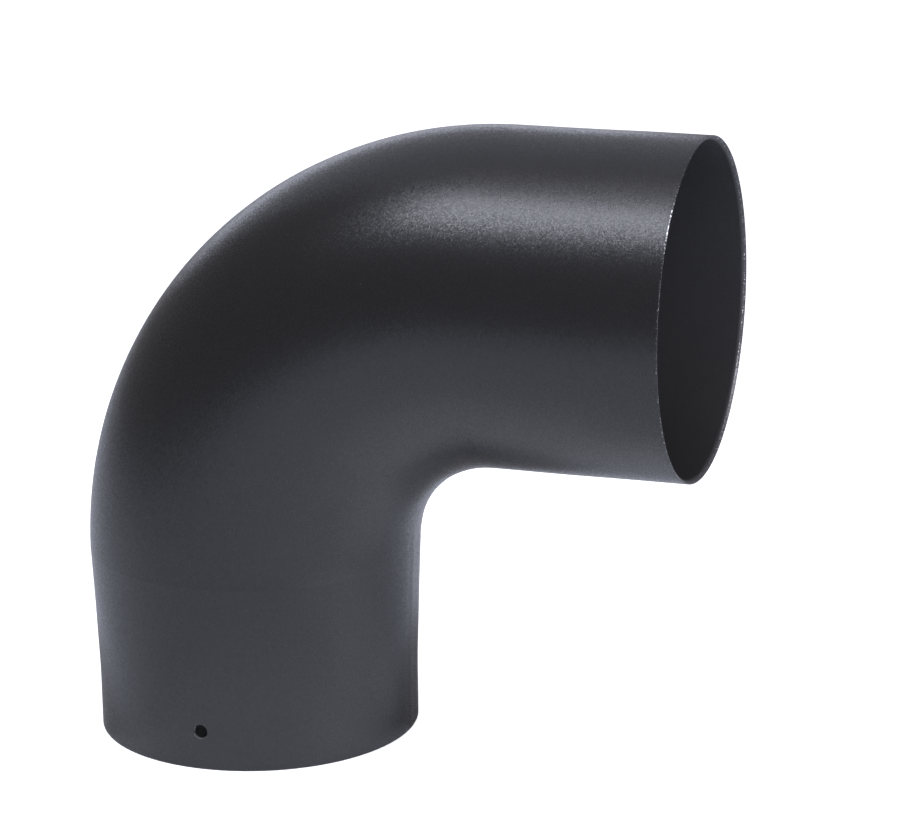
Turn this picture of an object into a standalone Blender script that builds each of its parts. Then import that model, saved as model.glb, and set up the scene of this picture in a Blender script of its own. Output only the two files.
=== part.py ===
"""A 90 degree elbow for 150 mm stove pipe, welded from 2 mm steel sheet and painted matt black.

The bend is two pressed half shells, butt-welded along its outside and its inside. A rolled sleeve is
butt-welded to each end: below the bend the spigot, drawn in so that it slides into a pipe's socket or a
stove's collar, and after the bend the straight outlet, which takes the next pipe's spigot. The spigot
has one round hole for a locking screw. Nothing on the elbow moves.

Frame: metres, +Z up. The origin is on the spigot's axis, in the plane of its rim. The flue runs up the
Z axis, turns in the XZ plane and leaves along +X.
"""

import math

import bmesh
import bpy
from mathutils import Vector

# Driving dimensions
TUBE_RADIUS = 0.077  # outside of the bend and the outlet
WALL = 0.002
BEND_RADIUS = 0.125  # of the tube's centre line
BEND_START = 0.087  # height at which the centre line starts to turn
OUTLET_LENGTH = 0.090  # from the end of the turn to the outlet's rim
SPIGOT_RADIUS = 0.0745  # outside of the spigot where it is parallel
SPIGOT_PARALLEL = 0.019  # height at which the parallel stretch starts to widen
SPIGOT_BLEND = 0.016  # height over which it eases into the straight taper
RIM_CHAMFER = 0.0004
HOLE_RADIUS = 0.00325
HOLE_HEIGHT = 0.018
SPIGOT_SEAM_TURN = math.radians(6.5)  # from the plane of the bend to the spigot's seam, towards the rear

# Welds
WELD_WIDTH = 0.0024
WELD_CROWN = 0.0002  # how far a weld stands proud of the sheet, outside and inside
GAP = 0.0003  # between pieces that touch

# Fineness of the round shapes
STEPS_AROUND = 48
STEPS_ALONG_BEND = 15
HOLE_SIDES = 24

# Worked out from the above
SLIT = WELD_WIDTH / 2 + GAP  # half the width of the space that a weld fills
SPIGOT_TOP = BEND_START - SLIT
ARM_HEIGHT = BEND_START + BEND_RADIUS
OUTLET_START = BEND_RADIUS + SLIT
OUTLET_RIM = BEND_RADIUS + OUTLET_LENGTH
BEND_CENTRE = Vector((BEND_RADIUS, 0, BEND_START))
SIDE = Vector((0, -1, 0))

PAINT = (0.030, 0.031, 0.035, 1)
WELD_PAINT = (0.036, 0.037, 0.041, 1)


def clear_scene():
    for obj in list(bpy.data.objects):
        bpy.data.objects.remove(obj, do_unlink=True)


def painted(name, colour, roughness):
    """The paint of one piece: matt, with no metal showing."""
    material = bpy.data.materials.new(name + "_paint")
    material.use_nodes = True
    shader = material.node_tree.nodes["Principled BSDF"]
    shader.inputs["Base Color"].default_value = colour
    shader.inputs["Roughness"].default_value = roughness
    shader.inputs["Metallic"].default_value = 0
    material.diffuse_color = colour
    return material


def add_object(name, bm, material):
    bmesh.ops.recalc_face_normals(bm, faces=bm.faces)
    mesh = bpy.data.meshes.new(name)
    bm.to_mesh(mesh)
    bm.free()
    mesh.shade_smooth()
    mesh.set_sharp_from_angle(angle=math.radians(30))
    mesh.materials.append(material)
    obj = bpy.data.objects.new(name, mesh)
    bpy.context.scene.collection.objects.link(obj)
    return obj


def loft(name, sections, material, closed=False):
    """A solid skinned over a list of sections, each a loop of the same number of points.

    A closed loft joins its last section to its first, and an open one has a cap at each end.
    """
    bm = bmesh.new()
    loops = [[bm.verts.new(point) for point in section] for section in sections]
    following = loops[1:] + loops[:1] if closed else loops[1:]
    for here, there in zip(loops, following):
        for i in range(len(here)):
            j = (i + 1) % len(here)
            bm.faces.new((here[i], here[j], there[j], there[i]))
    if not closed:
        bm.faces.new(loops[0])
        bm.faces.new(loops[-1])
    return add_object(name, bm, material)


def spigot_radius(height):
    """Outside radius of the spigot: parallel, then a parabola that eases into a straight taper.

    The taper reaches the tube's radius where the bend starts.
    """
    length = BEND_START - SPIGOT_PARALLEL - SPIGOT_BLEND / 2
    slope = (TUBE_RADIUS - SPIGOT_RADIUS) / length
    rise = max(height - SPIGOT_PARALLEL, 0)
    if rise < SPIGOT_BLEND:
        return SPIGOT_RADIUS + slope * rise * rise / (2 * SPIGOT_BLEND)
    return SPIGOT_RADIUS + slope * (rise - SPIGOT_BLEND / 2)


def bend_point(distance, across, part):
    """A point of the bend, by its distance from the axis of the turn and the part of the way along.

    Both ends are trimmed square to the tube, which leaves room for the ring welds.
    """
    trim = math.asin(SLIT / distance)
    turn = trim + (math.radians(90) - 2 * trim) * part
    outward = Vector((-math.cos(turn), 0, math.sin(turn)))
    return BEND_CENTRE + distance * outward + across * SIDE


def parts_along_bend():
    return [i / STEPS_ALONG_BEND for i in range(STEPS_ALONG_BEND + 1)]


def half_shell(name, side, material):
    """One pressed half of the bend, from the outer seam round to the inner seam.

    Side is 1 for the half with the locking hole below it, and -1 for the other.
    """
    steps = STEPS_AROUND // 2

    def arc(radius, part):
        start = math.asin(SLIT / radius)
        for i in range(steps + 1):
            angle = start + (math.pi - 2 * start) * i / steps
            distance = BEND_RADIUS + radius * math.cos(angle)
            yield bend_point(distance, side * radius * math.sin(angle), part)

    sections = []
    for part in parts_along_bend():
        outer = list(arc(TUBE_RADIUS, part))
        inner = list(arc(TUBE_RADIUS - WALL, part))
        sections.append(outer + inner[::-1])
    return loft(name, sections, material)


def weld_profile():
    """A weld's section as (across, depth) pairs: depth is 0 at the sheet's outer face, positive outwards."""
    edge = WELD_WIDTH / 2
    crest = WELD_WIDTH / 4
    return (
        (-edge, 0),
        (-crest, WELD_CROWN),
        (crest, WELD_CROWN),
        (edge, 0),
        (edge, -WALL),
        (crest, -WALL - WELD_CROWN),
        (-crest, -WALL - WELD_CROWN),
        (-edge, -WALL),
    )


def bend_seam_weld(name, facing, material):
    """The weld between the half shells: facing is 1 on the outside of the turn and -1 on the inside."""
    sections = []
    for part in parts_along_bend():
        section = []
        for across, depth in weld_profile():
            distance = BEND_RADIUS + facing * (TUBE_RADIUS + depth)
            section.append(bend_point(distance, across, part))
        sections.append(section)
    return loft(name, sections, material)


def straight_seam_weld(name, stations, along, facing, material):
    """A sleeve's lengthwise weld, through stations of (point on the axis, outside radius)."""
    sideways = facing.cross(along)
    sections = []
    for centre, radius in stations:
        sections.append(
            [centre + (radius + depth) * facing + across * sideways for across, depth in weld_profile()]
        )
    return loft(name, sections, material)


def ring_weld(name, centre, radius, along, facing, material):
    """The weld right round the tube between a sleeve and the bend."""
    sections = []
    for i in range(STEPS_AROUND):
        angle = 2 * math.pi * i / STEPS_AROUND
        radial = math.cos(angle) * facing + math.sin(angle) * SIDE
        sections.append(
            [centre + (radius + depth) * radial + across * along for across, depth in weld_profile()]
        )
    return loft(name, sections, material, closed=True)


def rolled_sleeve(name, profile, along, facing, material):
    """A sheet rolled into a sleeve, open along a slit that faces one way for its seam weld.

    The profile is a loop of (distance along the axis, radius) pairs, measured from the origin.
    """
    sideways = facing.cross(along)
    sections = []
    for i in range(STEPS_AROUND + 1):
        section = []
        for distance, radius in profile:
            start = math.asin(SLIT / radius)
            angle = start + (2 * math.pi - 2 * start) * i / STEPS_AROUND
            radial = math.cos(angle) * facing + math.sin(angle) * sideways
            section.append(distance * along + radius * radial)
        sections.append(section)
    return loft(name, sections, material)


def spigot_seam_facing():
    """The direction from the spigot's axis to its seam."""
    return Vector((math.cos(SPIGOT_SEAM_TURN), math.sin(SPIGOT_SEAM_TURN), 0))


def make_spigot_sleeve():
    """The spigot, with chamfers at its rim and a square edge where the ring weld is."""
    heights = [RIM_CHAMFER, SPIGOT_PARALLEL]
    heights += [SPIGOT_PARALLEL + SPIGOT_BLEND * part for part in (0.35, 0.7, 1)]
    heights.append(SPIGOT_TOP)
    outside = [(height, spigot_radius(height)) for height in heights]
    inside = [(height, radius - WALL) for height, radius in reversed(outside)]
    rim = [
        (0, SPIGOT_RADIUS - WALL + RIM_CHAMFER),
        (0, SPIGOT_RADIUS - RIM_CHAMFER),
    ]
    sleeve = rolled_sleeve(
        "spigot_sleeve",
        rim + outside + inside,
        Vector((0, 0, 1)),
        spigot_seam_facing(),
        painted("spigot_sleeve", PAINT, 0.5),
    )
    cut_locking_hole(sleeve)


def cut_locking_hole(sleeve):
    """The round hole through the front of the spigot, drilled square to the plane of the bend."""
    bm = bmesh.new()
    bmesh.ops.create_cone(
        bm,
        cap_ends=True,
        segments=HOLE_SIDES,
        radius1=HOLE_RADIUS,
        radius2=HOLE_RADIUS,
        depth=6 * WALL,
    )
    drill = add_object("locking_hole_drill", bm, painted("locking_hole_drill", PAINT, 0.5))
    drill.location = SIDE * SPIGOT_RADIUS + Vector((0, 0, HOLE_HEIGHT))
    drill.rotation_euler = (math.radians(90), 0, 0)
    drill.hide_render = True
    drill.display_type = "WIRE"
    cut = sleeve.modifiers.new("locking_hole", "BOOLEAN")
    cut.operation = "DIFFERENCE"
    cut.solver = "EXACT"
    cut.object = drill


def make_outlet_sleeve():
    """The straight outlet, square at the ring weld and chamfered at its open rim."""
    bore = TUBE_RADIUS - WALL
    profile = [
        (OUTLET_START, bore),
        (OUTLET_START, TUBE_RADIUS),
        (OUTLET_RIM - RIM_CHAMFER, TUBE_RADIUS),
        (OUTLET_RIM, TUBE_RADIUS - RIM_CHAMFER),
        (OUTLET_RIM, bore + RIM_CHAMFER),
        (OUTLET_RIM - RIM_CHAMFER, bore),
    ]
    sleeve = rolled_sleeve(
        "outlet_sleeve",
        profile,
        Vector((1, 0, 0)),
        Vector((0, 0, -1)),
        painted("outlet_sleeve", PAINT, 0.5),
    )
    sleeve.location.z = ARM_HEIGHT


def make_bend():
    half_shell("bend_half_front", 1, painted("bend_half_front", PAINT, 0.5))
    half_shell("bend_half_rear", -1, painted("bend_half_rear", PAINT, 0.5))
    bend_seam_weld("bend_outer_seam_weld", 1, painted("bend_outer_seam_weld", WELD_PAINT, 0.55))
    bend_seam_weld("bend_inner_seam_weld", -1, painted("bend_inner_seam_weld", WELD_PAINT, 0.55))


def make_sleeve_seam_welds():
    """The lengthwise welds, next to the bend's inner seam and clear of both ends."""
    heights = (GAP, SPIGOT_PARALLEL, SPIGOT_PARALLEL + SPIGOT_BLEND, SPIGOT_TOP)
    straight_seam_weld(
        "spigot_seam_weld",
        [(Vector((0, 0, height)), spigot_radius(height)) for height in heights],
        Vector((0, 0, 1)),
        spigot_seam_facing(),
        painted("spigot_seam_weld", WELD_PAINT, 0.55),
    )
    straight_seam_weld(
        "outlet_seam_weld",
        [
            (Vector((distance, 0, ARM_HEIGHT)), TUBE_RADIUS)
            for distance in (OUTLET_START, OUTLET_RIM - GAP)
        ],
        Vector((1, 0, 0)),
        Vector((0, 0, -1)),
        painted("outlet_seam_weld", WELD_PAINT, 0.55),
    )


def make_ring_welds():
    """The ring welds, where the straight sleeves meet the ends of the turn."""
    ring_weld(
        "spigot_ring_weld",
        Vector((0, 0, BEND_START)),
        TUBE_RADIUS,
        Vector((0, 0, 1)),
        Vector((1, 0, 0)),
        painted("spigot_ring_weld", WELD_PAINT, 0.55),
    )
    ring_weld(
        "outlet_ring_weld",
        Vector((BEND_RADIUS, 0, ARM_HEIGHT)),
        TUBE_RADIUS,
        Vector((1, 0, 0)),
        Vector((0, 0, -1)),
        painted("outlet_ring_weld", WELD_PAINT, 0.55),
    )


def main():
    clear_scene()
    make_spigot_sleeve()
    make_bend()
    make_outlet_sleeve()
    make_sleeve_seam_welds()
    make_ring_welds()


main()
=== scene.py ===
"""The looks of the flue elbow: welded steel sheet under matt black stove paint, in a plain studio.

Every piece is built over the same description of the elbow's skin: a distance along the flue (the
station), an angle round it (0 faces the inside of the turn, and positive angles pass the front) and
a depth below the painted face. So the sheets and the welds between them stay flush.
"""

import math

import bmesh
import bpy
import numpy as np
from mathutils import Matrix, Vector


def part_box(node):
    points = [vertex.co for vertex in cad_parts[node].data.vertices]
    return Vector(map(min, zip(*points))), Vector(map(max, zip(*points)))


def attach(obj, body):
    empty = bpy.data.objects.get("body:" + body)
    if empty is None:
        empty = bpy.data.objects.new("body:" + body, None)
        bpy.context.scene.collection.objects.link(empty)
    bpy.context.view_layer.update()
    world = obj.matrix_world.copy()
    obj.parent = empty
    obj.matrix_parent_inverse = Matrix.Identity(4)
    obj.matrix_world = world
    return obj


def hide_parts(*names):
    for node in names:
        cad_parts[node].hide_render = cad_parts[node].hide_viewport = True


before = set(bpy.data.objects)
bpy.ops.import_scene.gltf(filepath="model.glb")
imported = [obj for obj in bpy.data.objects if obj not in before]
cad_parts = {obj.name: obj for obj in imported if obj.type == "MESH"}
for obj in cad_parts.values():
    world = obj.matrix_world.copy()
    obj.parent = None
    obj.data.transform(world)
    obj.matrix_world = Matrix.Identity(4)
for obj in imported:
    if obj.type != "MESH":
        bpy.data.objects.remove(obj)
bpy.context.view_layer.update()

MM = 0.001

# ---------------------------------------------------------------- sizes, from the frame
SPIGOT_RING = sum(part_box("spigot_ring_weld"), Vector()) / 2
OUTLET_RING = sum(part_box("outlet_ring_weld"), Vector()) / 2
OUTLET_LOW, OUTLET_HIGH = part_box("outlet_sleeve")

BEND_START = SPIGOT_RING.z
ARM_HEIGHT = OUTLET_RING.z
BEND_RADIUS = OUTLET_RING.x
BEND_LENGTH = BEND_RADIUS * math.pi / 2
BEND_END = BEND_START + BEND_LENGTH
BEND_CENTRE = np.array((BEND_RADIUS, 0, BEND_START))
TUBE_RADIUS = OUTLET_HIGH.z - ARM_HEIGHT
OUTLET_RIM = BEND_END + OUTLET_HIGH.x - BEND_RADIUS  # as a station
SLIT = OUTLET_LOW.x - BEND_RADIUS  # from a seam's middle to the edge of the sheet

# Sizes that no box gives, the same as in the CAD model
WALL = 2 * MM
SPIGOT_RADIUS = 74.5 * MM
SPIGOT_PARALLEL = 19 * MM
SPIGOT_BLEND = 16 * MM
HOLE_RADIUS = 3.25 * MM
HOLE_HEIGHT = 18 * MM
SPIGOT_SEAM_TURN = math.radians(6.5)

# ---------------------------------------------------------------- fineness and small shapes
HALF_STEPS = 160  # round half the tube
BEND_STEPS = 110
ROW = 1.7 * MM  # length of a mesh row on the straight sleeves
EDGE_STEPS = 4  # round each rounded edge
SHARP_ANGLE = math.radians(50)  # between faces that don't shade as one
RIM_ROUNDING = 0.4 * MM
RIM_SUPPORT = 0.5 * MM  # from a rounding to the next row
OUTLET_ROUNDING = 0.18 * MM
LIP = 0.4 * MM  # width of the outlet's end face, outside the lead-in
LEAD_DEPTH = WALL - LIP  # the bevel inside the outlet's rim, across the wall
LEAD_LENGTH = 1.15 * MM  # and along the arm
CREASE = 0.12 * MM  # rounding between the lip and the lead-in
BORE_CREASE = 0.7 * MM  # and between the lead-in and the bore
HOLE_ROUNDING = 0.45 * MM
HOLE_PATCH = 8 * MM  # from the hole's centre to the edge of its patch of mesh

BEAD_HALF_WIDTH = 2.0 * MM
BEAD_TOE = 1.7 * MM  # where the bead runs out on the sheet
TOE_COLUMN = 0.12 * MM  # width of the narrow column of mesh along each toe
BEAD_LIFT = 0.008 * MM  # the least that a bead stands proud
BEAD_DIP = 0.02 * MM  # how far its buried edge lies below the sheet's face
BEAD_STEPS = 14
PITTED_BEAD_STEPS = 26
BORE_CROWN = 0.15 * MM  # how far the beads stand proud inside
WELD_BACK = 0.01 * MM  # how far a seam weld stays back from the rims
WELD_ROW = 0.25 * MM  # length of a mesh row on the leg's seam weld
WELD_START = 0.6 * MM  # its first even row
BEND_WELD_ROWS = 480
ARM_WELD_ROWS = 60
ARM_WELD_END = 2.0 * MM  # back from the outlet's rim
LEAD_IN_ROWS = 12
LEAD_IN_BACK = (1.9 * MM, 0.3 * MM)  # the first and last of those, back from the rim


# ---------------------------------------------------------------- the elbow's skin
def spigot_radius(height):
    """Parallel, then a parabola that eases into a straight taper up to the tube's radius."""
    length = BEND_START - SPIGOT_PARALLEL - SPIGOT_BLEND / 2
    slope = (TUBE_RADIUS - SPIGOT_RADIUS) / length
    rise = np.maximum(height - SPIGOT_PARALLEL, 0)
    eased = slope * rise * rise / (2 * SPIGOT_BLEND)
    return SPIGOT_RADIUS + np.where(rise < SPIGOT_BLEND, eased, slope * (rise - SPIGOT_BLEND / 2))


SWELL = 0.07 * MM
RIPPLE = 0.03 * MM


def unevenness(station, angle):
    """Long shallow waves that rolling and pressing leave in the sheet, outwards positive."""
    swell = np.sin(station * 71 + 2 * np.sin(angle + 0.4)) * np.cos(2 * angle + station * 9)
    ripple = np.sin(station * 118 + 1.3) * np.sin(3 * angle + 0.8 + station * 21)
    return SWELL * swell + RIPPLE * ripple


# The flat ground over the spigot's seam and the hollow beside it: distances to the rear of the
# inside of the turn
GROUND_MIDDLE = 8.5 * MM
GROUND_HALF_WIDTH = 5.2 * MM
HOLLOW_MIDDLE = -1.5 * MM
HOLLOW_HALF_WIDTH = 4.8 * MM
HOLLOW_DEPTH = 0.08 * MM
# Both fade out on the bend, from this far beyond its start and over this length
GROUND_REACH = 12 * MM
GROUND_FADE = 22 * MM


def smooth_step(value):
    part = np.clip(value, 0, 1)
    return part * part * (3 - 2 * part)


def ground_depth(station, angle):
    """Depth of the flat left by grinding over the leg's seam and of the slight hollow beside it."""
    across = -np.where(angle > math.pi, angle - 2 * math.pi, angle) * TUBE_RADIUS
    fade = 1 - smooth_step((station - BEND_START - GROUND_REACH) / GROUND_FADE)
    flat = GROUND_HALF_WIDTH**2 - (across - GROUND_MIDDLE) ** 2
    flat = np.maximum(flat, 0) / (2 * TUBE_RADIUS)
    hollow = smooth_step(1 - np.abs(across - HOLLOW_MIDDLE) / HOLLOW_HALF_WIDTH)
    return fade * (flat + HOLLOW_DEPTH * hollow)


def skin_point(station, angle, depth):
    """Points of the elbow, from stations, angles and depths of any matching shapes."""
    station, angle, depth = np.broadcast_arrays(station, angle, depth)
    turn = np.clip((station - BEND_START) / BEND_RADIUS, 0, math.pi / 2)
    nothing = np.zeros_like(turn)
    inward = np.stack((np.cos(turn), nothing, -np.sin(turn)), -1)
    below = np.minimum(station - BEND_START, 0)
    beyond = np.maximum(station - BEND_END, 0)
    centre = BEND_CENTRE - BEND_RADIUS * inward + np.stack((beyond, nothing, below), -1)
    radius = np.where(station < BEND_START, spigot_radius(station), TUBE_RADIUS)
    radius = radius + unevenness(station, angle) - ground_depth(station, angle) - depth
    side = np.array((0, -1, 0))
    radial = np.cos(angle)[..., None] * inward + np.sin(angle)[..., None] * side
    return centre + radius[..., None] * radial


def station_beside(ring, across, angle):
    """The station at a straight distance from a ring seam, which is BEND_START or BEND_END."""
    distance = BEND_RADIUS - TUBE_RADIUS * np.cos(angle)
    on_bend = BEND_RADIUS * np.arcsin(across / distance)
    in_bend = across > 0 if ring == BEND_START else across < 0
    return ring + np.where(in_bend, on_bend, across)


END_CROWDING = 0.8  # 0 for even angles, 1 for the closest at both ends


def half_turn(start):
    """Angles from start to half a turn, less the same start, closer together at both ends."""
    part = np.linspace(0, 1, HALF_STEPS + 1)
    part = part - END_CROWDING * np.sin(2 * math.pi * part) / (2 * math.pi)
    return start + (math.pi - 2 * start) * part


# ---------------------------------------------------------------- mesh building
def loft(loops, closed=False, left_open=frozenset()):
    """Faces over a stack of loops, each the face side's points, then the bore side's in reverse.

    An open loft gets a strip of quads at each end. A cell (section, point) in left_open is skipped.
    Returns the faces and, for each, whether it is on the bore's side.
    """
    sections, points = loops.shape[:2]
    half = points // 2
    faces, bore_side = [], []
    for i in range(sections if closed else sections - 1):
        here, there = i * points, (i + 1) % sections * points
        for k in range(points):
            if (i, k) in left_open:
                continue
            m = (k + 1) % points
            faces.append((here + k, here + m, there + m, there + k))
            bore_side.append(half <= k < points - 1)
    if not closed:
        for base in (0, (sections - 1) * points):
            for k in range(half - 1):
                faces.append((base + k, base + k + 1, base + points - 2 - k, base + points - 1 - k))
                bore_side.append(False)
    return faces, bore_side


def make_piece(points, faces, bore_side, node, materials):
    """A closed mesh that stands for one CAD node, with a material for each side."""
    name = "painted_" + node
    mesh = bpy.data.meshes.new(name)
    mesh.from_pydata(points.reshape(-1, 3).tolist(), [], faces)
    for material in materials:
        mesh.materials.append(material)
    mesh.polygons.foreach_set("material_index", np.array(bore_side, np.int32))
    bm = bmesh.new()
    bm.from_mesh(mesh)
    bmesh.ops.recalc_face_normals(bm, faces=bm.faces)
    bm.to_mesh(mesh)
    bm.free()
    mesh.shade_smooth()
    mesh.set_sharp_from_angle(angle=SHARP_ANGLE)
    piece = bpy.data.objects.new(name, mesh)
    bpy.context.scene.collection.objects.link(piece)
    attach(piece, "root")
    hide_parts(node)


def face_and_bore(face, bore):
    """Loops for loft() from grids of points on the painted face and on the bore's."""
    return np.concatenate((face, bore[:, ::-1]), axis=1)


def rounded_rim(rounding):
    """(distance in from the rim, depth) pairs from the painted face round to the end face."""
    turns = [math.pi / 2 * i / EDGE_STEPS for i in range(EDGE_STEPS + 1)]
    return [(rounding * (1 - math.sin(a)), rounding * (1 - math.cos(a))) for a in turns]


def lead_in_edge():
    """The same pairs for the bevel inside the outlet's rim, from its lip to the bore's face."""
    along, deep = Vector((LEAD_LENGTH, LEAD_DEPTH)).normalized()
    return [
        (0, LIP - CREASE),
        (CREASE * along, LIP + CREASE * deep),
        (LEAD_LENGTH / 2, LIP + LEAD_DEPTH / 2),
        (LEAD_LENGTH - BORE_CREASE * along, WALL - BORE_CREASE * deep),
        (LEAD_LENGTH + BORE_CREASE, WALL),
    ]


def both_faces(profile):
    """A profile of (station, depth) pairs on the painted face, carried on over the bore's face."""
    return profile + [(station, WALL - depth) for station, depth in reversed(profile)]


# ---------------------------------------------------------------- sheets
def sleeve_loops(profile, ring, seam_turn=0.0):
    """Angles and loops round a rolled sleeve, from one edge of its seam's slit to the other.

    The profile's row at the ring seam has the station None: it stays a slit's width from the seam.
    """
    start = SLIT / TUBE_RADIUS
    front = half_turn(start)
    angles = np.concatenate((front[:-1], [math.pi], 2 * math.pi - front[-2::-1])) - seam_turn
    away = SLIT if ring == BEND_END else -SLIT
    stations = np.array([ring + away if s is None else s for s, _ in profile])
    depths = np.array([depth for _, depth in profile])
    return angles, skin_point(stations[None, :], angles[:, None], depths[None, :])


def make_outlet_sleeve(materials):
    rows = int((OUTLET_RIM - BEND_END) / ROW)
    last = OUTLET_RIM - LEAD_LENGTH - BORE_CREASE - RIM_SUPPORT
    straight = [float(s) for s in np.linspace(BEND_END + ROW + SLIT, last, rows)]
    profile = [(None, 0.0)] + [(s, 0.0) for s in straight]
    profile += [(OUTLET_RIM - back, depth) for back, depth in rounded_rim(OUTLET_ROUNDING)]
    profile += [(OUTLET_RIM - back, depth) for back, depth in lead_in_edge()]
    profile += [(s, WALL) for s in reversed(straight)] + [(None, WALL)]
    _, loops = sleeve_loops(profile, BEND_END)
    faces, _ = loft(loops)
    # The bevel looks inwards, so it has the bore's material too
    lip_end = len(straight) + 1 + EDGE_STEPS + 1
    bore_side = [lip_end < face[0] % len(profile) < len(profile) - 1 for face in faces]
    make_piece(loops, faces, bore_side, "outlet_sleeve", materials)


def make_spigot_sleeve(materials):
    rows = int(BEND_START / ROW)
    first = RIM_ROUNDING + RIM_SUPPORT
    profile = [(None, 0.0)]
    profile += [(float(s), 0.0) for s in np.linspace(BEND_START - ROW - SLIT, first, rows)]
    profile += [(back, depth) for back, depth in rounded_rim(RIM_ROUNDING)]
    profile = both_faces(profile)
    angles, loops = sleeve_loops(profile, BEND_START, SPIGOT_SEAM_TURN)

    reach = HOLE_PATCH / SPIGOT_RADIUS
    columns = [i for i, a in enumerate(angles) if abs(a - math.pi / 2) < reach]
    outside = enumerate(profile[: len(profile) // 2])
    rows = [k for k, (s, _) in outside if s is not None and abs(s - HOLE_HEIGHT) < HOLE_PATCH]
    left_open = set()
    for i in columns[:-1]:
        for k in rows[:-1]:
            left_open.update(((i, k), (i, len(profile) - 2 - k)))
    faces, bore_side = loft(loops, left_open=left_open)
    points, ring_faces, ring_bore = hole_patch(loops, columns, rows)
    points = np.concatenate((loops.reshape(-1, 3), points))
    faces, bore_side = faces + ring_faces, bore_side + ring_bore
    make_piece(points, faces, bore_side, "spigot_sleeve", materials)


PATCH_PARTS = (0.35, 0.65, 0.88)  # where rings lie, from the window's edge to the hole's edge


def hole_patch(loops, columns, rows):
    """Rings of mesh from the window in the painted face, through the drilled hole, to the bore's.

    Returns the rings' points and their faces and, for each face, whether it is on the bore's side.
    """
    sections, count = loops.shape[:2]
    low, high, first, last = rows[0], rows[-1], columns[0], columns[-1]
    window = [(i, low) for i in columns[:-1]] + [(last, k) for k in rows[:-1]]
    window += [(i, high) for i in reversed(columns[1:])] + [(first, k) for k in reversed(rows[1:])]
    outer = [i * count + k for i, k in window]
    inner = [i * count + count - 1 - k for i, k in window]
    flat = loops.reshape(-1, 3)
    corners = flat[outer]
    offset = np.stack((corners[:, 0], corners[:, 2] - HOLE_HEIGHT), -1)
    facing = offset / np.linalg.norm(offset, axis=1)[:, None]

    def on_sheet(across, depth):
        """The sheet at (x, height above the hole's centre) pairs."""
        height = across[:, 1] + HOLE_HEIGHT
        angle = np.arccos(across[:, 0] / (spigot_radius(height) - depth))
        return skin_point(height, angle, depth)

    edge = HOLE_RADIUS + HOLE_ROUNDING
    steps = [(offset + part * (edge * facing - offset), 0.0) for part in PATCH_PARTS]
    for out, depth in rounded_rim(HOLE_ROUNDING):
        steps.append(((HOLE_RADIUS + out) * facing, depth))
    rings = [on_sheet(across, depth) for across, depth in both_faces(steps)]

    base = sections * count
    size = len(window)
    between = [[base + r * size + k for k in range(size)] for r in range(len(rings))]
    strips = [outer] + between + [inner]
    faces, bore_side = [], []
    wall = len(strips) // 2
    for r, (here, there) in enumerate(zip(strips, strips[1:])):
        for k in range(size):
            m = (k + 1) % size
            faces.append((here[k], here[m], there[m], there[k]))
            bore_side.append(r >= wall)
    return np.concatenate(rings), faces, bore_side


def make_bend_half(node, side, materials):
    """One pressed half: side is 1 for the front half and -1 for the rear one."""
    angles = side * half_turn(SLIT / TUBE_RADIUS)
    first = station_beside(BEND_START, SLIT, angles)
    last = station_beside(BEND_END, -SLIT, angles)
    part = np.linspace(0, 1, BEND_STEPS + 1)[:, None]
    stations = first + (last - first) * part
    loops = face_and_bore(skin_point(stations, angles, 0.0), skin_point(stations, angles, WALL))
    faces, bore_side = loft(loops)
    make_piece(loops, faces, bore_side, node, materials)


# ---------------------------------------------------------------- welds
def bead_depth(across, crown):
    """Depth of a bead's face: proud by the crown, almost level at its toes, buried beyond them."""
    proud = crown * (0.5 + 0.5 * np.cos(math.pi * np.minimum(np.abs(across) / BEAD_TOE, 1)))
    buried = np.maximum(np.abs(across) - BEAD_TOE, 0) / (BEAD_HALF_WIDTH - BEAD_TOE)
    return (BEAD_DIP + BEAD_LIFT) * buried - BEAD_LIFT - proud


def bead_columns(steps):
    """Distances across a bead, with a narrow column along each toe."""
    inner = BEAD_TOE - TOE_COLUMN
    between = np.linspace(-inner, inner, steps + 1)
    return np.concatenate(([-BEAD_HALF_WIDTH, -BEAD_TOE], between, [BEAD_TOE, BEAD_HALF_WIDTH]))


def make_ring_weld(node, ring, crown, materials):
    """The weld right round the tube between a sleeve and the bend."""
    half = half_turn(SLIT / TUBE_RADIUS)
    angles = np.concatenate(([0], half, [math.pi], 2 * math.pi - half[::-1]))[:, None]
    across = bead_columns(BEAD_STEPS)
    stations = station_beside(ring, across, angles)
    height = crown * (0.8 + 0.2 * np.sin(5 * angles + 1) * np.sin(2 * angles + 0.3))
    face = skin_point(stations, angles, bead_depth(across, height))
    bore = skin_point(stations, angles, WALL - bead_depth(across, BORE_CROWN))
    loops = face_and_bore(face, bore)
    faces, bore_side = loft(loops, closed=True)
    make_piece(loops, faces, bore_side, node, materials)


def edge_sink(back, rounding):
    """Depth of a rounded edge at a distance back from its rim."""
    short = np.maximum(rounding - back, 0)
    return rounding - np.sqrt(rounding**2 - short**2)


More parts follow.
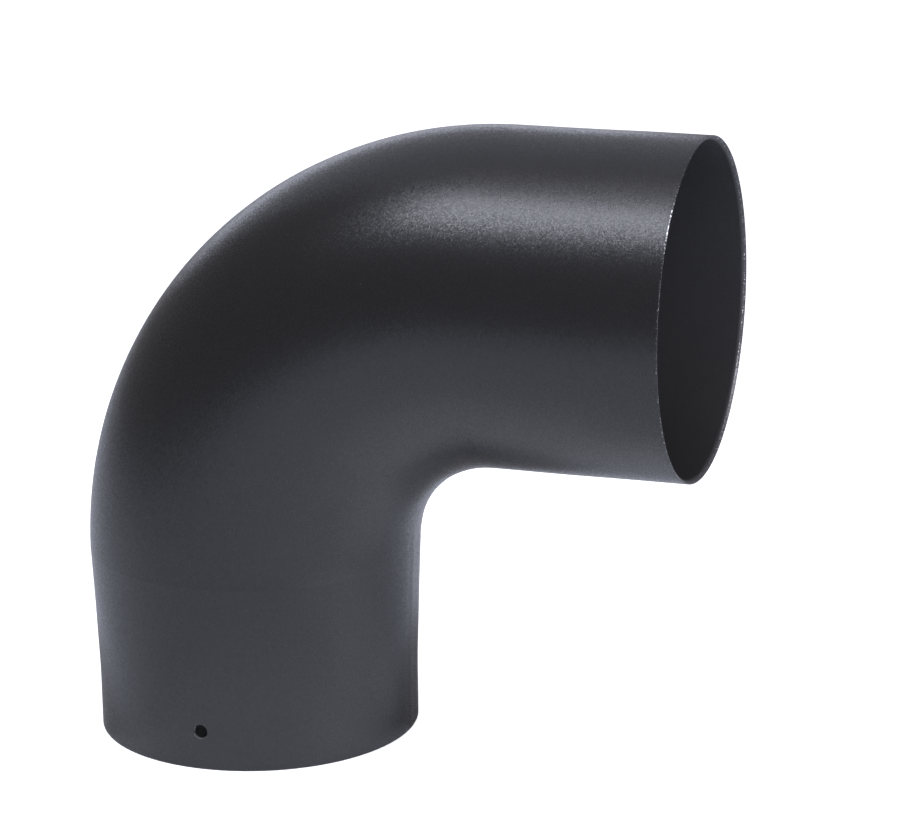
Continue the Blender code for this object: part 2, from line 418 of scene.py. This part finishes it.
def make_seam_weld(node, stations, angle, crown, pits, materials):
    """A lengthwise weld, with pits as below."""
    columns = bead_columns(PITTED_BEAD_STEPS if pits else BEAD_STEPS)
    stations = stations[:, None]
    angles = angle + columns[None, :] / TUBE_RADIUS
    height = crown * (0.7 + 0.3 * np.sin(stations * 310) * np.sin(stations * 127 + 0.7))
    depth = bead_depth(columns, height)
    for at, across, radius, sunk in pits:
        away = ((stations - at) ** 2 + (columns - across) ** 2) / radius**2
        depth = depth + sunk * np.exp(-away * away)
    to_rim = OUTLET_RIM - stations
    depth = depth + edge_sink(stations, RIM_ROUNDING) + edge_sink(to_rim, OUTLET_ROUNDING)
    bore_depth = WALL - bead_depth(columns, BORE_CROWN) - edge_sink(stations, RIM_ROUNDING)
    lead_depth = LIP + LEAD_DEPTH / LEAD_LENGTH * to_rim - bead_depth(columns, 0)
    bore_depth = np.minimum(bore_depth, lead_depth)
    face, bore = (skin_point(stations, angles, below) for below in (depth, bore_depth))
    loops = face_and_bore(face, bore)
    faces, bore_side = loft(loops)
    make_piece(loops, faces, bore_side, node, materials)


# Pores left in the ground welds on the inside of the turn: station, distance across, radius, depth
SPIGOT_PITS = [
    (71.0 * MM, -0.9 * MM, 0.34 * MM, 0.30 * MM),
    (65.0 * MM, -0.6 * MM, 0.30 * MM, 0.26 * MM),
    (59.5 * MM, -0.2 * MM, 0.26 * MM, 0.20 * MM),
    (56.5 * MM, -0.1 * MM, 0.30 * MM, 0.28 * MM),
    (55.0 * MM, 0.1 * MM, 0.26 * MM, 0.24 * MM),
    (51.5 * MM, 0.0 * MM, 0.24 * MM, 0.18 * MM),
    (42.7 * MM, 0.3 * MM, 0.34 * MM, 0.30 * MM),
]
BEND_PITS = [
    (91.0 * MM, -0.7 * MM, 0.26 * MM, 0.20 * MM),
    (97.0 * MM, -0.8 * MM, 0.28 * MM, 0.24 * MM),
    (104.0 * MM, -0.4 * MM, 0.24 * MM, 0.20 * MM),
]


def seam_rows():
    """The stations of the mesh rows along the leg's seam, the bend's and the arm's."""
    turns = np.linspace(0, math.pi / 2, EDGE_STEPS + 1)
    first = RIM_ROUNDING * (1 - np.cos(turns)) + WELD_BACK
    leg = np.concatenate((first, np.arange(WELD_START, BEND_START, WELD_ROW)))
    bend = np.linspace(BEND_START, BEND_END, BEND_WELD_ROWS)
    even = np.linspace(BEND_END, OUTLET_RIM - ARM_WELD_END, ARM_WELD_ROWS)
    lead_in = OUTLET_RIM - np.linspace(*LEAD_IN_BACK, LEAD_IN_ROWS)
    last = OUTLET_RIM - OUTLET_ROUNDING * (1 - np.cos(turns[::-1])) - WELD_BACK
    return leg, bend, np.concatenate((even, lead_in, last))


def make_welds(materials):
    make_ring_weld("spigot_ring_weld", BEND_START, 0.03 * MM, materials)
    make_ring_weld("outlet_ring_weld", BEND_END, 0.004 * MM, materials)
    leg, bend, arm = seam_rows()
    for node, stations, angle, crown, pits in (
        ("spigot_seam_weld", leg, -SPIGOT_SEAM_TURN, 0.02 * MM, SPIGOT_PITS),
        ("bend_inner_seam_weld", bend, 0.0, 0.05 * MM, BEND_PITS),
        ("bend_outer_seam_weld", bend, math.pi, 0.05 * MM, []),
        ("outlet_seam_weld", arm, 0.0, 0.03 * MM, []),
    ):
        make_seam_weld(node, stations, angle, crown, pits, materials)


# ---------------------------------------------------------------- materials
class Nodes:
    """A material and short ways to add shader nodes to it, in object space and metres."""

    def __init__(self, name):
        self.material = bpy.data.materials.new(name)
        self.material.use_nodes = True
        self.tree = self.material.node_tree
        self.shader = self.tree.nodes["Principled BSDF"]
        coordinates = self.tree.nodes.new("ShaderNodeTexCoord")
        self.place = coordinates.outputs["Object"]

    def add(self, kind, settings=None, **inputs):
        """Add a node and feed its inputs, by name or, as _0 or _1, by number."""
        node = self.tree.nodes.new("ShaderNode" + kind)
        for key, value in (settings or {}).items():
            setattr(node, key, value)
        for key, value in inputs.items():
            socket = node.inputs[int(key[1:])] if key[0] == "_" else node.inputs[key]
            self.feed(socket, value)
        return node

    def feed(self, socket, value):
        if isinstance(value, bpy.types.NodeSocket):
            self.tree.links.new(value, socket)
        else:
            socket.default_value = value

    def coat(self, colour, rough):
        self.feed(self.shader.inputs["Base Color"], colour)
        self.feed(self.shader.inputs["Roughness"], rough)

    def noise(self, size, detail=2.0, roughness=0.5):
        """Noise with features of a given size, as a factor round 0.5."""
        inputs = {"Vector": self.place, "Scale": 1 / size, "Detail": detail, "Roughness": roughness}
        return self.add("TexNoise", **inputs).outputs["Fac"]

    def cells(self, size, output):
        return self.add("TexVoronoi", Vector=self.place, Scale=1 / size).outputs[output]

    def math(self, operation, first, second=0.0):
        return self.add("Math", {"operation": operation}, _0=first, _1=second).outputs[0]

    def vector_math(self, operation, first, **others):
        return self.add("VectorMath", {"operation": operation}, _0=first, **others).outputs

    def ranged(self, value, low, high, to_low=0.0, to_high=1.0):
        """The value, carried from low..high to to_low..to_high and clamped there."""
        ends = {"From Min": low, "From Max": high, "To Min": to_low, "To Max": to_high}
        return self.add("MapRange", Value=value, **ends).outputs["Result"]

    def mixed(self, factor, first, second):
        """A colour from the first, at factor 0, to the second."""
        node = self.add("Mix", {"data_type": "RGBA"}, Factor=factor, _6=first, _7=second)
        return node.outputs[2]

    def bump(self, height, distance, normal):
        inputs = {"Strength": 1.0, "Distance": distance, "Height": height, "Normal": normal}
        return self.add("Bump", **inputs).outputs["Normal"]


PAINT_DARK = (0.0140, 0.0141, 0.0150, 1)
PAINT_LIGHT = (0.0165, 0.0167, 0.0180, 1)
TONE_SIZE = 38 * MM
MOTTLE_SIZE = 1.6 * MM
BARE_STEEL = (0.55, 0.55, 0.56, 1)
GRIT = (0.12, 0.12, 0.12, 1)
GRIT_SPACING = 10 * MM
GRIT_REACH = (0.012, 0.026)  # of the spacing: solid within the first, nothing beyond the second
# A lighter grey painted as a highlight on the locking hole's lower edge
PAINTED_HOLE_HIGHLIGHT = (0.10, 0.10, 0.10, 1)
HOLE_HIGHLIGHT_WIDTH = 0.15 * MM  # width of the painted highlight round the locking hole
HOLE_HIGHLIGHT_DROP = (-0.3, -0.7)  # of the hole's radius: the painted highlight grows in from there to there
BORE_DARK = (0.022, 0.022, 0.024, 1)
BORE_LIGHT = (0.027, 0.027, 0.029, 1)
# Painted light: the lower part of the bore is painted lighter
PAINTED_LOW_BORE_LIGHT = (0.050, 0.050, 0.053, 1)
PAINTED_LOW_BORE_LIGHT_FADE = (50 * MM, -60 * MM)  # over the arm's axis: none of the painted light above, all of it below

GRAIN = 0.45 * MM  # size of the grains in the paint's sandy skin
TILT = 0.10  # how far the grains lean
BORE_TILT = TILT / 3
GRAIN_RANGE = (0.2, 0.8)  # of their random values, from the roughest to the shiniest
GRAIN_SPECULAR = (0.46, 0.54)
SHEEN = 0.31  # the paint's middle roughness
BORE_SHEEN = 0.62
SHEEN_SPREAD = 0.05
STEEL_SHEEN = 0.35
PEEL_SIZE = 3 * MM
PEEL = 0.01 * MM  # depth of the orange peel
WELD_PEEL = 0.02 * MM
BORE_PEEL = 0.03 * MM


def add_sandy_skin(n, tilt, peel, sheen):
    """Grains that each tilt and shine a little differently, over a coarser orange peel.

    Returns the roughness.
    """
    grains = n.cells(GRAIN, "Color")
    n.feed(n.shader.inputs["Specular IOR Level"], n.ranged(grains, *GRAIN_RANGE, *GRAIN_SPECULAR))
    offset = n.vector_math("SUBTRACT", grains, _1=(0.5, 0.5, 0.5))[0]
    offset = n.vector_math("SCALE", offset, Scale=tilt)[0]
    tilted = n.vector_math("ADD", n.add("NewGeometry").outputs["Normal"], _1=offset)[0]
    facet = n.vector_math("NORMALIZE", tilted)[0]
    n.feed(n.shader.inputs["Normal"], n.bump(n.noise(PEEL_SIZE, 1.0), peel, facet))
    return n.ranged(grains, *GRAIN_RANGE, sheen + SHEEN_SPREAD, sheen - SHEEN_SPREAD)


def paint_colour(n, dark, light):
    """Slow shifts of tone with a fine mottle over them."""
    slow = n.noise(TONE_SIZE, 3.0, 0.55)
    mottle = n.noise(MOTTLE_SIZE, 2.0, 0.6)
    tone = n.math("ADD", n.math("MULTIPLY", slow, 0.6), n.math("MULTIPLY", mottle, 0.4))
    return n.mixed(n.ranged(tone, 0.3, 0.7), dark, light)


def grit(n):
    """A few bits of dust caught in the paint: 1 on them, 0 elsewhere."""
    return n.ranged(n.cells(GRIT_SPACING, "Distance"), *GRIT_REACH, 1.0, 0.0)


# Worn stretches of the outlet's rim: middle height over the arm's axis, half the length
WORN_NEAR = (50 * MM, 10 * MM)
WORN_FAR = (-52 * MM, 14 * MM)
FAR_WEAR = 1.4  # the far stretch's wear, where the near one's is 1
SPECK_SIZE = 0.7 * MM
SPECK_GAIN = (0.0, 1.5, -0.10, 0.14)  # wear from 0 to 1.5 adds this much to the specks' noise
SPECK_EDGE = (0.50, 0.60)  # noise that makes no speck, and a whole one
# Where the specks run out and where they start: back from the rim, and in from the painted face
SPECKS_BACK = (0.8 * MM, 0.3 * MM)
SPECKS_DEEP = (0.5 * MM, 0.3 * MM)
# The far side's specks reach further, over the bevel
FAR_BACK = 0.6 * MM
FAR_DEEP = 1.2 * MM


def radius_from(n, across, height):
    """The distance of a point from an axis, from its two coordinates."""
    across, height = n.math("MULTIPLY", across, across), n.math("MULTIPLY", height, height)
    return n.math("SQRT", n.math("ADD", across, height))


def worn_stretch(n, height, middle, half_length):
    """1 in the middle of a stretch, fading to 0 beyond its ends."""
    away = n.math("ABSOLUTE", n.math("SUBTRACT", height, middle))
    return n.ranged(away, 1.6 * half_length, 0.3 * half_length)


def worn_edge(n):
    """Specks of bare steel along the outer edge of the outlet's rim, thicker in two stretches."""
    split = n.add("SeparateXYZ", Vector=n.place).outputs
    height = n.math("SUBTRACT", split["Z"], ARM_HEIGHT)
    near = n.math("LESS_THAN", split["Y"], 0.0)
    far = n.math("SUBTRACT", 1.0, near)
    back = n.math("SUBTRACT", OUTLET_HIGH.x, split["X"])
    back = n.math("SUBTRACT", back, n.math("MULTIPLY", far, FAR_BACK))
    deep = n.math("SUBTRACT", TUBE_RADIUS, radius_from(n, split["Y"], height))
    deep = n.math("SUBTRACT", deep, n.math("MULTIPLY", far, FAR_DEEP))
    edge = n.math("MULTIPLY", n.ranged(back, *SPECKS_BACK), n.ranged(deep, *SPECKS_DEEP))
    worn_near = n.math("MULTIPLY", near, worn_stretch(n, height, *WORN_NEAR))
    far_wear = n.math("MULTIPLY", far, FAR_WEAR)
    worn_far = n.math("MULTIPLY", far_wear, worn_stretch(n, height, *WORN_FAR))
    wear = n.ranged(n.math("ADD", worn_near, worn_far), *SPECK_GAIN)
    specks = n.math("ADD", n.noise(SPECK_SIZE, 2.0, 0.6), wear)
    return n.math("MULTIPLY", edge, n.ranged(specks, *SPECK_EDGE))


def hole_highlight_mask(n):
    """A painted highlight along the lower front edge of the locking hole: 1 on it, 0 elsewhere."""
    split = n.add("SeparateXYZ", Vector=n.place).outputs
    drop = n.math("SUBTRACT", split["Z"], HOLE_HEIGHT)
    edge = HOLE_RADIUS + HOLE_ROUNDING
    near = n.ranged(radius_from(n, split["X"], drop), edge, edge - HOLE_HIGHLIGHT_WIDTH)
    low = n.ranged(drop, *(part * HOLE_RADIUS for part in HOLE_HIGHLIGHT_DROP))
    front = n.math("LESS_THAN", split["Y"], 0.0)
    return n.math("MULTIPLY", n.math("MULTIPLY", near, low), front)


def wear_through(n, colour, rough):
    """The colour and roughness of a paint, worn through to the steel along the outlet's rim."""
    bare = worn_edge(n)
    n.feed(n.shader.inputs["Metallic"], bare)
    return n.mixed(bare, colour, BARE_STEEL), n.ranged(bare, 0, 1, rough, STEEL_SHEEN)


def stove_paint(name="stove_paint_finish", worn=False):
    n = Nodes(name)
    colour = n.mixed(grit(n), paint_colour(n, PAINT_DARK, PAINT_LIGHT), GRIT)
    # painted highlight on the lower edge of the locking hole
    colour = n.mixed(hole_highlight_mask(n), colour, PAINTED_HOLE_HIGHLIGHT)
    rough = add_sandy_skin(n, TILT, PEEL, SHEEN)
    if worn:
        colour, rough = wear_through(n, colour, rough)
    n.coat(colour, rough)
    return n.material


def weld_paint():
    n = Nodes("painted_weld_finish")
    n.coat(paint_colour(n, PAINT_DARK, PAINT_LIGHT), add_sandy_skin(n, TILT, WELD_PEEL, SHEEN))
    return n.material


def bore_paint(name="bore_paint_finish", worn=False):
    """The smoother, duller paint inside, painted lighter in the lower part of the bore as painted
    light.
    """
    n = Nodes(name)
    height = n.math("SUBTRACT", n.add("SeparateXYZ", Vector=n.place).outputs["Z"], ARM_HEIGHT)
    # painted light: lighter colour towards the bottom of the bore
    low = n.ranged(height, *PAINTED_LOW_BORE_LIGHT_FADE)
    colour = n.mixed(low, paint_colour(n, BORE_DARK, BORE_LIGHT), PAINTED_LOW_BORE_LIGHT)
    rough = add_sandy_skin(n, BORE_TILT, BORE_PEEL, BORE_SHEEN)
    if worn:
        colour, rough = wear_through(n, colour, rough)
    n.coat(colour, rough)
    return n.material


# ---------------------------------------------------------------- studio
FLOOR_RADIUS = 12.0
FLOOR_DEPTH = 0.05 * MM  # below the elbow's rim
TABLE_DEPTH = 0.10 * MM
FLOOR_GLOW = (0.82, 0.82, 0.84, 1)
# Painted light on the table that only the elbow mirrors: a glow that stands in for light on the
# paper
TABLE_PAINTED_LIGHT = (0.22, 0.26, 0.34, 1)
DARK = (0.0, 0.0, 0.0, 1)
TABLE_REACH = (0.5, 1.8)  # the table's painted light fades between these distances
FLOOR_PAPER = ((0.84, 0.84, 0.84, 1), (0.87, 0.87, 0.87, 1))
FLOOR_MOTTLE = 0.4
PAPER_ROUGHNESS = 0.8
PAPER = (0.86, 0.86, 0.86, 1)
# Darker paper inside the painted shadow round the leg
PAPER_IN_PAINTED_SHADOW = (0.62, 0.62, 0.62, 1)
PAINTED_POOL_LIGHT = (0.49, 0.52, 0.61, 1)
# Painted shadow and painted pools of light on the table: middle, and the distances where they start
# and end fading
TABLE_PAINTED_SHADOW = ((-0.015, 0.066), 0.122, 0.150)
TABLE_PAINTED_POOLS = (((0.035, -0.095), 0.080, 0.112), ((0.170, -0.010), 0.045, 0.080))
WORLD_GLOW = (0.19, 0.18, 0.19, 1)
SOFTBOXES = (
    # name, azimuth and elevation from the elbow's middle, distance, width, height, roll, brightness
    ("key", -32, 66.5, 1.5, 0.82, 0.56, 15, (7.1, 7.3, 8.3)),
    ("side", 74, 8, 1.6, 0.80, 0.36, 0, (17.0, 17.0, 19.0)),
    ("back", 208, 38, 2.4, 2.60, 2.80, 0, (0.3, 0.32, 0.38)),
    ("top", 0, 86, 1.5, 0.80, 0.80, 0, (1.0, 1.0, 1.1)),
    ("behind", 210, 9, 2.4, 1.5, 0.6, 0, (1.0, 1.05, 1.25)),
)
CAMERA_AZIMUTH = math.radians(18.762)
CAMERA_ELEVATION = math.radians(16.202)
CAMERA_ROLL = math.radians(-0.798)
CAMERA_DISTANCE = 1.6897
CAMERA_TARGET = Vector((0.0965, 0, 0.1530))
CAMERA_LENS = 148.84


def floor_finish():
    """Evenly glowing paper, with painted shade inside the leg's footprint, where the leg stands on
    it and closes it in: no glow there.
    """
    n = Nodes("studio_floor_finish")
    n.coat(n.mixed(n.noise(FLOOR_MOTTLE), *FLOOR_PAPER), PAPER_ROUGHNESS)
    # painted shade: the floor gives no glow inside the leg's footprint
    outside = n.math("GREATER_THAN", n.vector_math("LENGTH", n.place)["Value"], SPIGOT_RADIUS)
    n.feed(n.shader.inputs["Emission Color"], FLOOR_GLOW)
    n.feed(n.shader.inputs["Emission Strength"], outside)
    return n.material


def within(n, middle, full, none):
    """1 up to a distance from a point of the table, fading to 0 at a greater one."""
    away = n.vector_math("DISTANCE", n.place, _1=(*middle, 0))["Value"]
    return n.ranged(away, full, none, 1.0, 0.0)


def painted_table_light():
    """What the elbow mirrors: paper with a painted shadow round the leg and painted pools of light
    in front of it, under a painted glow that fades with distance.
    """
    n = Nodes("studio_painted_table_light")
    # painted shadow round the leg: darker paper and no glow
    shade = within(n, *TABLE_PAINTED_SHADOW)
    n.coat(n.mixed(shade, PAPER, PAPER_IN_PAINTED_SHADOW), PAPER_ROUGHNESS)
    from_leg = n.vector_math("LENGTH", n.place)["Value"]
    # painted light on the table, fading with distance from the leg, then taken out in the painted
    # shadow
    glow = n.mixed(n.ranged(from_leg, *TABLE_REACH), TABLE_PAINTED_LIGHT, DARK)
    glow = n.mixed(shade, glow, DARK)
    # painted pools of light in front of the leg
    for pool in TABLE_PAINTED_POOLS:
        glow = n.mixed(within(n, *pool), glow, PAINTED_POOL_LIGHT)
    n.feed(n.shader.inputs["Emission Color"], glow)
    n.feed(n.shader.inputs["Emission Strength"], 1.0)
    return n.material


def outward(azimuth, elevation):
    """The direction from the elbow to something at an azimuth (0 is the front) and elevation."""
    flat = math.cos(elevation)
    return Vector((math.sin(azimuth) * flat, -math.cos(azimuth) * flat, math.sin(elevation)))


def facing_matrix(place, back, roll):
    """A camera's or light's matrix: it looks along minus back, and roll turns it about that."""
    right = Vector((0, 0, 1)).cross(back).normalized()
    up = back.cross(right)
    turned = math.cos(roll) * right + math.sin(roll) * up
    matrix = Matrix((turned, back.cross(turned), back)).transposed().to_4x4()
    matrix.translation = place
    return matrix


def add_camera():
    data = bpy.data.cameras.new("camera")
    data.sensor_width = 36
    data.lens = CAMERA_LENS
    camera = bpy.data.objects.new("camera", data)
    back = outward(CAMERA_AZIMUTH, CAMERA_ELEVATION)
    camera.matrix_world = facing_matrix(CAMERA_TARGET + CAMERA_DISTANCE * back, back, CAMERA_ROLL)
    bpy.context.scene.collection.objects.link(camera)
    bpy.context.scene.camera = camera


def add_softbox(name, azimuth, elevation, distance, width, height, roll, radiance):
    data = bpy.data.lights.new(name, "AREA")
    data.shape = "RECTANGLE"
    data.size, data.size_y = width, height
    data.energy = max(radiance) * math.pi * width * height
    data.color = Vector(radiance) / max(radiance)
    light = bpy.data.objects.new(name, data)
    back = outward(math.radians(azimuth), math.radians(elevation))
    light.matrix_world = facing_matrix(CAMERA_TARGET + distance * back, back, math.radians(roll))
    light.visible_camera = False
    bpy.context.scene.collection.objects.link(light)


def add_disc(name, depth, material):
    bm = bmesh.new()
    bmesh.ops.create_circle(bm, cap_ends=True, segments=96, radius=FLOOR_RADIUS)
    mesh = bpy.data.meshes.new(name)
    bm.to_mesh(mesh)
    bm.free()
    mesh.materials.append(material)
    disc = bpy.data.objects.new(name, mesh)
    disc.location.z = -depth
    bpy.context.scene.collection.objects.link(disc)
    return disc


def add_floor():
    """The floor that the camera sees, and just below it the one that lights the elbow."""
    floor = add_disc("studio_floor", FLOOR_DEPTH, floor_finish())
    floor.visible_glossy = floor.visible_diffuse = floor.visible_shadow = False
    table = add_disc("studio_table", TABLE_DEPTH, painted_table_light())
    table.visible_camera = False


def add_world():
    world = bpy.data.worlds.new("studio")
    world.use_nodes = True
    background = world.node_tree.nodes["Background"]
    background.inputs["Color"].default_value = WORLD_GLOW
    background.inputs["Strength"].default_value = 1.0
    bpy.context.scene.world = world


def add_studio():
    add_floor()
    add_world()
    for softbox in SOFTBOXES:
        add_softbox(*softbox)
    add_camera()
    bpy.context.scene.view_settings.view_transform = "Standard"


# ---------------------------------------------------------------- the elbow
def make_elbow():
    paint, weld, bore = stove_paint(), weld_paint(), bore_paint()
    sheet = (paint, bore)
    make_spigot_sleeve(sheet)
    make_bend_half("bend_half_front", 1, sheet)
    make_bend_half("bend_half_rear", -1, sheet)
    worn_paint = stove_paint("worn_stove_paint_finish", worn=True)
    make_outlet_sleeve((worn_paint, bore_paint("worn_bore_paint_finish", worn=True)))
    make_welds((weld, bore))


make_elbow()
add_studio()
